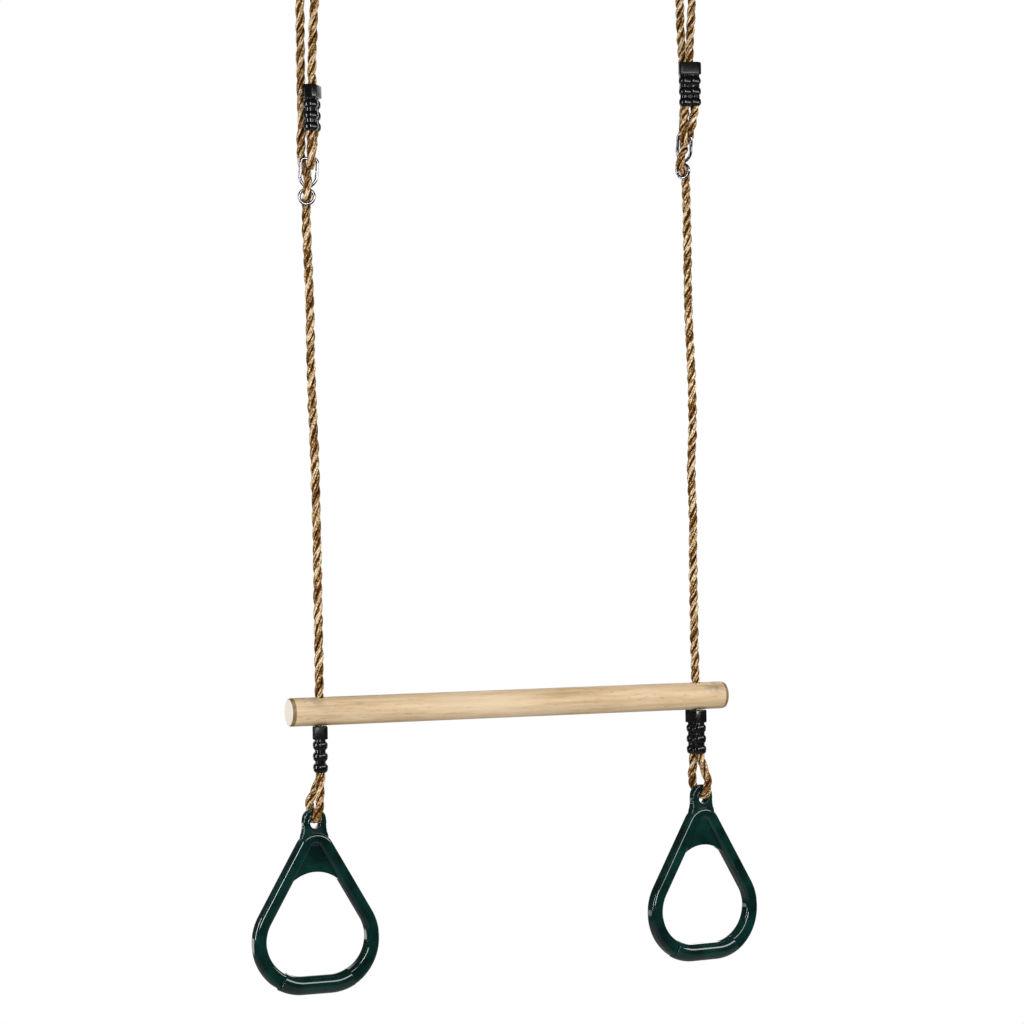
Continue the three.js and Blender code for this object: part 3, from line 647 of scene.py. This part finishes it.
def rounded_polygon(corners, radius, steps=6):
    """Each corner becomes an arc whose centre lies radius * (n0 + n1) / (1 + n0 . n1) inside it,
    where n0 and n1 are the outward normals of its two sides."""
    corner = np.array(corners, float)
    side = np.roll(corner, -1, axis=0) - corner
    side /= np.linalg.norm(side, axis=1, keepdims=True)
    second = np.stack([side[:, 1], -side[:, 0]], axis=1)
    first = np.roll(second, 1, axis=0)
    centre = corner - radius * (first + second) / (1 + (first * second).sum(axis=1, keepdims=True))
    start = np.arctan2(first[:, 1], first[:, 0])
    bend = np.arctan2(first[:, 0] * second[:, 1] - first[:, 1] * second[:, 0], (first * second).sum(axis=1))
    angle = start[:, None] + bend[:, None] * np.linspace(0, 1, steps)
    return arc(centre[:, None], radius, angle).reshape(-1, 2)


def quarter(edge, steps=6):
    """How far a rounded rim is pulled in, and how far it has risen, from the face to the side."""
    a = np.linspace(0, math.pi / 2, steps)
    return edge * (1 - np.sin(a)), edge * (1 - np.cos(a))


def slab(outline, foot, height, edge):
    """The outline pulled in along its normals at both rims while it rises from foot to foot + height."""
    run = np.roll(outline, -1, axis=0) - np.roll(outline, 1, axis=0)
    normal = np.stack([run[:, 1], -run[:, 0]], axis=1) / np.linalg.norm(run, axis=1, keepdims=True)
    pull, rise = quarter(edge)
    pull, rise = np.append(edge + RIM_SUPPORT, pull), np.append(0.0, rise)
    pull = np.concatenate([pull, pull[::-1]])[:, None, None]
    level = foot + np.concatenate([rise, height - rise[::-1]])
    flat = outline[None] - normal[None] * pull
    return np.concatenate([flat, np.broadcast_to(level[:, None, None], (*flat.shape[:2], 1))], axis=2)


# %% [markdown]
# ## Moulded plastic
#
# The clamps are black and the handles are dark green, both glossy. Real mouldings aren't
# perfectly even: the surface waves a little where the plastic shrank, and handling leaves
# patches with slightly different gloss. Both come from noise in the piece's own coordinates.

# %%
# One plastic, in two colours
def moulded_plastic(name, dark, light, gloss, wave, coat):
    """Colour and roughness drift between two values over some centimetres, over a faint wave."""
    material, tree = new_material(name)
    place = add_node(tree, "ShaderNodeTexCoord", output="Object")
    broad, fine = noise(place, 38.0, 3.0), noise(place, 900.0, 2.0)
    scuff = remap(fine, 0.62, 0.78)
    colour = ramp(broad, (0.35, dark), (0.65, light))
    roughness = broad * 0.08 + scuff * 0.03 + gloss
    surface(colour, roughness, (0.2, 0.001), broad * wave + fine * 0.0012, Coat_Weight=coat)
    return material


CLAMP_PLASTIC = moulded_plastic("clamp_black", srgb(6, 5, 6), srgb(18, 15, 16), 0.18, 0.9, 0.4)
HANDLE_PLASTIC = moulded_plastic("handle_green", srgb(1, 27, 24), srgb(8, 51, 45), 0.06, 0.08, 1.0)

# %% [markdown]
# ## The rope clamps
#
# Each clamp holds the rope's live part and its cut end side by side. It is one moulding: a
# block with cut corners at the top, and three ribs below it shaped like two round lobes, one
# for each leg of the rope. Between the ribs a narrow spine and two thin sleeves, open towards
# the spine, hold the legs, which show only in the slits.

# %%
# Four clamps: block, ribs, spine and sleeves
BLOCK_BACK, CORNER_ROUND, BLOCK_ROUND = [(14, 5), (10, 9), (-10, 9), (-14, 5)], 1.2, 1.6
BLOCK_HEIGHT, RIB_HEIGHT, RIB_GAP, RIB_ROUND, LOBE_RADIUS = 16.0, 12.0, 1.3, 5.0, 8.9
LEG_OFFSET, SLEEVE_OUTSIDE, SLEEVE_INSIDE, SLEEVE_REACH, SLEEVE_ROUND = 6.0, 6.3, 5.2, 1.8, 0.2
SPINE, SPINE_CORNER, SPINE_ROUND, INNER_FOOT = [(3, -6), (3, 6), (-3, 6), (-3, -6)], 0.8, 0.3, 1.0
RIBS_TOP = 3 * (RIB_HEIGHT + RIB_GAP)


def lobed_outline():
    """Two circles side by side: each is drawn where it lies outside the other."""
    offset = BLOCK_BACK[0][0] - LOBE_RADIUS
    reach = math.acos(-offset / LOBE_RADIUS)
    lobe = arc((offset, 0), LOBE_RADIUS, np.linspace(-reach, reach, 40, endpoint=False))
    return np.vstack([lobe, -lobe])


def sleeve_outline():
    """A thin C round one leg of the rope, open towards the spine."""
    a = np.linspace(-SLEEVE_REACH, SLEEVE_REACH, 24)
    leg = (LEG_OFFSET, 0)
    return np.vstack([arc(leg, SLEEVE_OUTSIDE, a), arc(leg, SLEEVE_INSIDE, a[::-1])])


def clamp_piece(side, level, turn, place):
    """A clamp whose foot stands at the given place."""
    block = rounded_polygon(BLOCK_BACK + [(-x, -y) for x, y in BLOCK_BACK], CORNER_ROUND)
    spine = rounded_polygon(SPINE, SPINE_CORNER)
    grids = [slab(block, RIBS_TOP, BLOCK_HEIGHT, BLOCK_ROUND),
             slab(spine, INNER_FOOT, RIBS_TOP, SPINE_ROUND)]
    grids += [slab(sleeve_outline() * way, INNER_FOOT, RIBS_TOP, SLEEVE_ROUND) for way in (1, -1)]
    grids += [slab(lobed_outline(), i * (RIB_HEIGHT + RIB_GAP), RIB_HEIGHT, RIB_ROUND) for i in range(3)]
    name = f"{side}_{level}_clamp"
    piece = make_piece(f"{name}_moulding", [(placed(g, turn, place), False) for g in grids], CLAMP_PLASTIC)
    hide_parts(name)
    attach(piece, f"{side}_clamp" if level == "lower" else f"{side}_adjuster")
    print(piece.name, "foot at", [round(v, 1) for v in place])


clamp_piece("left", "upper", 52.0, (HOLE_X["left"] + 1.1, -5.0, -239.0))
clamp_piece("right", "upper", -20.0, (HOLE_X["right"] + 4.0, -5.0, -189.0))
clamp_piece("left", "lower", -108.0, (HOLE_X["left"], 0.0, LOWER_CLAMP_FOOT))
clamp_piece("right", "lower", -73.0, (HOLE_X["right"], 0.0, LOWER_CLAMP_FOOT))

# %% [markdown]
# ## Bright wire and zinc-plated steel
#
# The adjusters are bent from bright wire, the rings are thicker and duller. Steel shows what
# surrounds it, so its colour stays plain and its roughness does the work: fine drawing marks
# run along the wire, and the zinc has faint cloudy patches.

# %%
# Two steels
def plated_steel(name, colour, gloss, cloud):
    """Metal whose roughness drifts with cloudy patches and fine marks."""
    material, tree = new_material(name)
    place = add_node(tree, "ShaderNodeTexCoord", output="Object")
    patch, marks = noise(place, 160.0, 3.0), noise(place, 1500.0, 2.0)
    tint = ramp(patch, (0.3, tuple(0.82 * v for v in colour)), (0.7, colour))
    roughness = patch * cloud + marks * 0.04 + gloss
    surface(tint, roughness, (0.25, 0.0002), marks, Metallic=1.0)
    return material


BRIGHT_WIRE = plated_steel("bright_wire", srgb(158, 155, 163), 0.07, 0.07)
ZINC_STEEL = plated_steel("zinc_steel", srgb(186, 190, 194), 0.24, 0.22)

# %% [markdown]
# ## The adjusters
#
# Each adjuster is one wire bent to a tall loop with a narrow waist, welded there to a round
# ring. The rope's tail is tied round the loop's top bar, and the long part goes in behind the
# loop, over the waist and out behind the ring. It grips as soon as the rope is pulled.

# %%
# Two adjusters: the bent loop, the ring and its weld
WIRE, LOOP_FOOT, LOOP_TOP = 2.0, 1.55, 35
LOOP_HALF = [(0, LOOP_FOOT), (3.92, 2.8), (8.33, 7.82), (9.8, 12), (9.8, 21), (9.8, 30.8), (9.24, 32.9),
             (7.7, 34.44), (5.6, LOOP_TOP)]
ADJUSTER_RING, WELD = 8.8, (3.4, 2.3, 1.5)


def adjuster_piece(side, place, turn, tilt, lean):
    """The wire in its own frame, then turned about Z, Y and X and hung at its place."""
    corners = LOOP_HALF + [(0, LOOP_TOP)] + [(-x, z) for x, z in LOOP_HALF[::-1]]
    loop, stations, _ = smooth_line([(x, 0, z) for x, z in corners], spacing=0.7)
    ring = wire_ring(ADJUSTER_RING, WIRE) - (0, 0, LOOP_FOOT + ADJUSTER_RING)
    fall, spin = np.linspace(0.06, math.pi - 0.06, 14)[:, None], full_turn(20)[None, :]
    ball = grid_of(np.sin(fall) * np.cos(spin), np.sin(fall) * np.sin(spin), np.cos(fall))
    axes = Matrix.Identity(3)
    for angle, axis in ((turn, "Z"), (tilt, "Y"), (lean, "X")):
        axes = axes @ Matrix.Rotation(math.radians(angle), 3, axis)
    grids = [(tube(loop, WIRE, 16), False), (ring, True), (ball * WELD, False)]
    grids = [(points @ np.array(axes).T + place, wrap) for points, wrap in grids]
    piece = make_piece(f"{side}_wire_adjuster", grids, BRIGHT_WIRE, 50.0)
    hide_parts(f"{side}_adjuster")
    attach(piece, f"{side}_adjuster")
    print(piece.name, "wire length", round(float(stations[-1])), "mm")


adjuster_piece("left", (HOLE_X["left"] - 5.8, -3.0, -306.0), -20.0, 5.0, 0.0)
adjuster_piece("right", (HOLE_X["right"] - 5.6, -2.0, -259.0), -58.0, 10.0, 8.0)

# %% [markdown]
# ## The suspension rings
#
# The rings are above the picture. They are 8 mm steel, 40 mm inside, closed by a butt weld
# that stands slightly proud of the wire.

# %%
# Two welded rings
RING_RADIUS, RING_WIRE, WELD_SWELL, WELD_WIDTH = 24.0, 4.0, 0.5, 0.07


def suspension_ring(side, x):
    """A wire ring across the bar's direction. At an angle u from its weld the wire is thicker by
    WELD_SWELL * exp(-(u / WELD_WIDTH)^2)."""
    u = full_turn(144)[:, None] - math.pi
    wire = RING_WIRE + WELD_SWELL * np.exp(-((u / WELD_WIDTH) ** 2))
    points = wire_ring(RING_RADIUS, wire, 144, 28)[..., [1, 0, 2]] + (x, 0, 0)
    piece = make_piece(f"{side}_welded_ring", [(points, True)], ZINC_STEEL, 60.0)
    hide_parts(f"{side}_suspension_ring")
    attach(piece, "rings")


suspension_ring("left", -253.0)
suspension_ring("right", 253.0)
print("rings", 2 * (RING_RADIUS - RING_WIRE), "mm inside")

# %% [markdown]
# ## The wooden bar
#
# The bar is turned from pale beech: 34 mm thick, 580 mm long, with rounded ends and one
# upright hole for each rope. Beech shows long soft grain and short dark flecks along its
# length, and the sawn end is paler, with faint growth rings that aren't centred on the bar.

# %%
# Beech, with end grain: places in metres where one look gives way to the next
PITH, STAIN_REACH, STAIN_LEVEL = (0.021, -0.921), (0.235, 0.275), (-0.929, -0.919)
RIM_REACH, END_REACH = (0.2852, 0.2860), (0.28985, 0.28995)


def beech():
    """Grain and flecks stretched along X. The rounded rim is darker, a stain lies on top of both
    ends, and past the rim the growth rings take over, round the tree's middle at PITH."""
    material, tree = new_material("turned_beech")
    place = add_node(tree, "ShaderNodeTexCoord", output="Object")
    x, y, z = coordinates(place)
    reach = x.math("ABSOLUTE")
    grain = noise(place, (11.0, 190.0, 190.0), 5.0, 0.6)
    wide = noise(place, 9.0, 2.0)
    fleck = remap(noise(place, (90.0, 900.0, 900.0), 1.0), 0.62, 0.72)
    streak = remap(noise(place, (9.0, 75.0, 75.0), 4.0), 0.56, 0.74)
    tone = grain * 0.65 + wide * 0.35 - fleck * 0.15 - streak * 0.12 - 0.02
    side = ramp(tone, (0.12, srgb(165, 143, 106)), (0.32, srgb(202, 172, 128)),
                (0.47, srgb(225, 196, 157)), (0.62, srgb(237, 212, 176)), (0.8, srgb(248, 231, 200)))
    stain = remap(reach, *STAIN_REACH) * remap(z, *STAIN_LEVEL)
    stain = stain * remap(noise(place, 60.0, 4.0), 0.46, 0.62) * 0.8
    side = mixed(stain, side, (*srgb(140, 122, 100), 1))
    rim = ramp(grain, (0.35, srgb(122, 98, 62)), (0.65, srgb(160, 134, 94)))
    y, z = y - PITH[0], z - PITH[1]
    far = (y * y + z * z).math("SQRT")
    rings = (far * 2400.0 + wide * 6.0).math("SINE") * 0.16 + grain * 0.5 + 0.25
    end = ramp(rings, (0.2, srgb(236, 220, 194)), (0.5, srgb(254, 245, 229)),
               (0.85, srgb(255, 253, 246)))
    colour = mixed(remap(reach, *RIM_REACH), side, rim)
    colour = mixed(remap(reach, *END_REACH), colour, end)
    surface(colour, grain * 0.15 + 0.42, (0.35, 0.0004), grain * 0.5 + fleck * 0.4)
    return material


BEECH = beech()


# %%
# The turned bar and its two rope holes
BAR_HALF, BAR_RADIUS, END_RADIUS, END_ROUND, BAR_LEVEL = 290.0, 17.0, 15.0, 4.6, -930.0
HOLE_RADIUS, DRILL_REACH = 6.6, 25.0


def turned_bar():
    """A radius for each place along X: 15 + 2 sin a at 290 - 4.6 (1 - cos a) on both ends."""
    a = np.linspace(0, math.pi / 2, 10)
    x = np.concatenate([[0.0], END_ROUND * (1 - np.cos(a)), np.linspace(8, BAR_HALF, 24)])
    rounded = END_RADIUS + (BAR_RADIUS - END_RADIUS) * np.sin(a)
    radius = np.concatenate([[END_RADIUS - FACE_SUPPORT], rounded, np.full(24, BAR_RADIUS)])
    x = np.concatenate([x - BAR_HALF, (BAR_HALF - x)[::-1][1:]])[:, None]
    radius = np.concatenate([radius, radius[::-1][1:]])[:, None]
    turn = full_turn(128)[None, :]
    return grid_of(x, radius * np.cos(turn), BAR_LEVEL + radius * np.sin(turn))


def drilled(piece, x):
    """The piece with an upright round hole at x, cut and made permanent."""
    turn = full_turn(48)[None, :]
    level = np.array([-DRILL_REACH, DRILL_REACH])[:, None] + BAR_LEVEL
    drill = grid_of(x + HOLE_RADIUS * np.cos(turn), HOLE_RADIUS * np.sin(turn), level)
    drill = make_piece("drill", [(drill, False)], BEECH)
    cut = piece.modifiers.new("hole", "BOOLEAN")
    cut.operation, cut.solver, cut.object = "DIFFERENCE", "EXACT", drill
    whole = piece.evaluated_get(bpy.context.evaluated_depsgraph_get())
    piece.data = bpy.data.meshes.new_from_object(whole)
    piece.modifiers.clear()
    bpy.data.objects.remove(drill)


bar = make_piece("turned_bar", [(turned_bar(), False)], BEECH, 35.0)
for x in HOLE_X.values():
    drilled(bar, x)
bar.data.set_sharp_from_angle(angle=math.radians(35))
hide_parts("trapeze_bar")
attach(bar, "bar")
print("bar faces:", len(bar.data.polygons))

# %% [markdown]
# ## The grip handles
#
# Each handle is a moulded triangle, point up, with a tab and an eyelet on top. Its legs have
# flat faces and rounded edges, a thin web closes the angle between them, and a round grip is
# moulded over a core along the bottom. The outer and the inner outline of the legs are both
# made of arcs and straights whose directions agree, so a point on one faces a point on the
# other, and a rounded section goes between them. All sizes are from the eyelet's centre.

# %%
# Outlines of the handle, in its own upright plane
EDGE, HALF_THICKNESS = 5.0, 9.0
OUTER = {"corner": (15.0, -139.9), "corner_radius": 64.0, "apex": -35.4, "apex_radius": 24.0}
INNER = {"corner": (20.0, -138.5), "corner_radius": 43.0, "apex": -31.41, "apex_radius": 6.0}
LEG_ANGLE, LEG_LINE = math.radians(30.434), -9.911
ARCH_CENTRE, ARCH_RADIUS = -103.843, 45.443
GRIP_CENTRE, GRIP_LINE_RADIUS, GRIP_RADIUS, SEAM_X = np.array([17.5, -139.2]), 53.5, 11.2, 44.0
SEAM_ANGLE = math.asin((SEAM_X - GRIP_CENTRE[0]) / GRIP_LINE_RADIUS)
WEB_REACH, WEB_SUNK, WEB_HALF_THICKNESS, WEB_EDGE = 31.0, 2.0, 4.0, 0.6


def seam_start(corner, radius):
    """The angle on a corner's arc that lies on the seam: from sin(angle - s) = -(d x q) / radius,
    with s and d the seam's direction and q the corner from the centre of the grip's bend."""
    s = SEAM_ANGLE - math.pi / 2
    q = np.array(corner) - GRIP_CENTRE
    return s - math.asin((math.cos(s) * q[1] - math.sin(s) * q[0]) / radius)


def leg_outline(corner, corner_radius, apex, apex_radius, rise):
    """From the right seam over the apex to the left seam: arc, straight, arc, straight, arc."""
    start = seam_start(corner, corner_radius)
    bend = np.concatenate([start + rise / corner_radius, np.linspace(start + 0.03, LEG_ANGLE, 90)])
    over = np.linspace(LEG_ANGLE, math.pi - LEG_ANGLE, 31)
    foot, top = arc(corner, corner_radius, bend), arc((0, apex), apex_radius, over)
    share = np.linspace(0, 1, 14)[1:-1, None]
    right = np.vstack([foot, foot[-1] * (1 - share) + top[0] * share])
    return np.vstack([right, top, right[::-1] * (-1, 1)])


def rounded_section(half_width, half_depth, edge, steps=13):
    """Across and deep values round a rectangle whose corners are quarter circles of radius edge. A
    point past each end of a quarter circle keeps the flat faces' shading flat."""
    quarter_turn = np.concatenate([[0], np.linspace(0, math.pi / 2, steps), [math.pi / 2]])
    a = (quarter_turn[None, :] + np.arange(4)[:, None] * math.pi / 2).ravel()
    past = np.tile(np.concatenate([[-FACE_SUPPORT], np.zeros(steps), [FACE_SUPPORT]]), 4)
    side, face = np.repeat([1, -1, -1, 1], steps + 2), np.repeat([1, 1, -1, -1], steps + 2)
    across = side * (half_width - edge) + edge * np.cos(a) - past * np.sin(a)
    return across, face * (half_depth - edge) + edge * np.sin(a) + past * np.cos(a)


def between(outer, inner, half_depth, edge, less):
    """A rounded section across each pair of facing points, smaller by less at its ends."""
    middle, reach = (outer + inner) / 2, (outer - inner) / 2
    half = np.linalg.norm(reach, axis=1, keepdims=True)
    less = less[:, None]
    across, deep = rounded_section(half - less, half_depth - less, edge - less)
    flat = middle[:, None] + (reach / half)[:, None] * across[..., None]
    return np.stack([flat[..., 0], deep, flat[..., 1]], axis=-1)


def legs_grid():
    """The legs from seam to seam, with slightly rounded ends."""
    pull, rise = quarter(0.5, 4)
    outer, inner = leg_outline(rise=rise, **OUTER), leg_outline(rise=rise, **INNER)
    less = np.zeros(len(outer))
    less[: len(pull)], less[-len(pull):] = pull, pull[::-1]
    return between(outer, inner, HALF_THICKNESS, EDGE, less)


def web_grid():
    """The thin plate between the legs: for each x its lower edge is on the arch, its upper one on
    the legs' inner sides, or on the round apex where |x| is small, both sunk in by WEB_SUNK."""
    x = np.linspace(-WEB_REACH, WEB_REACH, 63)
    low = ARCH_CENTRE + np.sqrt(ARCH_RADIUS**2 - x**2)
    side = (LEG_LINE + WEB_SUNK - np.abs(x) * math.cos(LEG_ANGLE)) / math.sin(LEG_ANGLE)
    apex_radius = INNER["apex_radius"] + WEB_SUNK
    apex = INNER["apex"] + np.sqrt(np.maximum(0, apex_radius**2 - x**2))
    high = np.where(np.abs(x) < apex_radius * math.cos(LEG_ANGLE), apex, side)
    high, low = np.stack([x, high], axis=1), np.stack([x, low], axis=1)
    return between(high, low, WEB_HALF_THICKNESS, WEB_EDGE, np.zeros(len(x)))


# %%
# The tab, the core and the grip
EYELET_RADIUS, RIM_WIDTH, RIM_HEIGHT, TAB_HALF, TAB_EDGE = 6.6, 2.8, 0.8, 5.5, 2.0
TAB_TOP_RADIUS, TAB_TOP, RIM_ROUND = 14.2, 3.3, 0.6
TAB_SIDE = [(TAB_TOP_RADIUS, TAB_TOP), (14.2, -3), (14.4, -7), (15.1, -11), (16.6, -15.5), (17, -19),
            (17, -22)]


def tab_grid():
    """A ring round the eyelet: at each angle the section runs out from the hole over the raised
    rim and the face to the tab's own outline, and back on the other side."""
    top = arc((0, TAB_TOP), TAB_TOP_RADIUS, np.linspace(0, math.pi, 40)[1:-1])
    shape = np.vstack([TAB_SIDE, [(-x, z) for x, z in TAB_SIDE], top])
    angle = np.arctan2(shape[:, 1], shape[:, 0])
    order = np.argsort(angle)
    turn = np.linspace(-math.pi, math.pi, 120, endpoint=False)
    reach = np.interp(turn, angle[order], np.linalg.norm(shape, axis=1)[order], period=2 * math.pi)
    pull, rise = quarter(TAB_EDGE)
    small, low = quarter(RIM_ROUND, 4)
    rim, face = EYELET_RADIUS + RIM_WIDTH, TAB_HALF + RIM_HEIGHT
    section = [(EYELET_RADIUS + p, 0, face - q) for p, q in zip(small[::-1], low[::-1])]
    section += [(rim - p, 0, face - q) for p, q in zip(small, low)]
    section += [(rim + RIM_SUPPORT, 0, TAB_HALF), (-TAB_EDGE - RIM_SUPPORT, 1, TAB_HALF)]
    section += [(-p, 1, TAB_HALF - q) for p, q in zip(pull, rise)]
    radius, share, depth = np.array(section + [(r, s, -d) for r, s, d in section[::-1]]).T
    out, turn = radius + share * reach[:, None], turn[:, None]
    return grid_of(out * np.cos(turn), depth, out * np.sin(turn))


def bottom_tube(extra, radius, pull, rise, sides=40):
    """A round bar along a straight and two bends of radius R: at arc length l past the straight
    its middle is R sin(l / R) further out and R (1 - cos(l / R)) higher."""
    straight = GRIP_CENTRE[0]
    half = straight + GRIP_LINE_RADIUS * SEAM_ANGLE + extra
    along = np.concatenate([rise - half, np.linspace(1 - half, half - 1, 60), (half - rise)[::-1]])
    along = along[:, None]
    thick = radius - np.concatenate([pull, np.zeros(60), pull[::-1]])[:, None]
    bend = np.maximum(0, np.abs(along) - straight) / GRIP_LINE_RADIUS * np.sign(along)
    x = np.clip(along, -straight, straight) + GRIP_LINE_RADIUS * np.sin(bend)
    z = GRIP_CENTRE[1] - GRIP_LINE_RADIUS * np.cos(bend)
    a = full_turn(sides)[None, :]
    out = thick * np.cos(a)
    return grid_of(x + out * np.sin(bend), thick * np.sin(a), z - out * np.cos(bend))


# %%
# Both handles, turned as they hang
CORE_RADIUS, CORE_EXTRA, GRIP_EXTRA = 6.0, 12.0, -0.3


def handle_pieces(side, x, eyelet, turn):
    """The moulded frame with its core, and the grip moulded over the core."""
    core = bottom_tube(CORE_EXTRA, CORE_RADIUS, *quarter(0.3, 3), sides=24)
    frame_grids = [(legs_grid(), False), (web_grid(), False), (tab_grid(), True), (core, False)]
    grip_grids = [(bottom_tube(GRIP_EXTRA, GRIP_RADIUS, *quarter(0.8)), False)]
    for node, grids in (("handle_frame", frame_grids), ("handle_grip", grip_grids)):
        grids = [(placed(points, turn, (x, 0, eyelet)), wrap) for points, wrap in grids]
        piece = make_piece(f"{side}_{node}_moulding", grids, HANDLE_PLASTIC)
        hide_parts(f"{side}_{node}")
        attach(piece, f"{side}_handle")
        print(piece.name, "faces:", len(piece.data.polygons))


handle_pieces("left", -260.5, -1062.2, 0.0)
handle_pieces("right", 256.0, -1058.7, 6.5)

# %%
# The view transform, and the end
bpy.context.scene.view_settings.view_transform = "Standard"
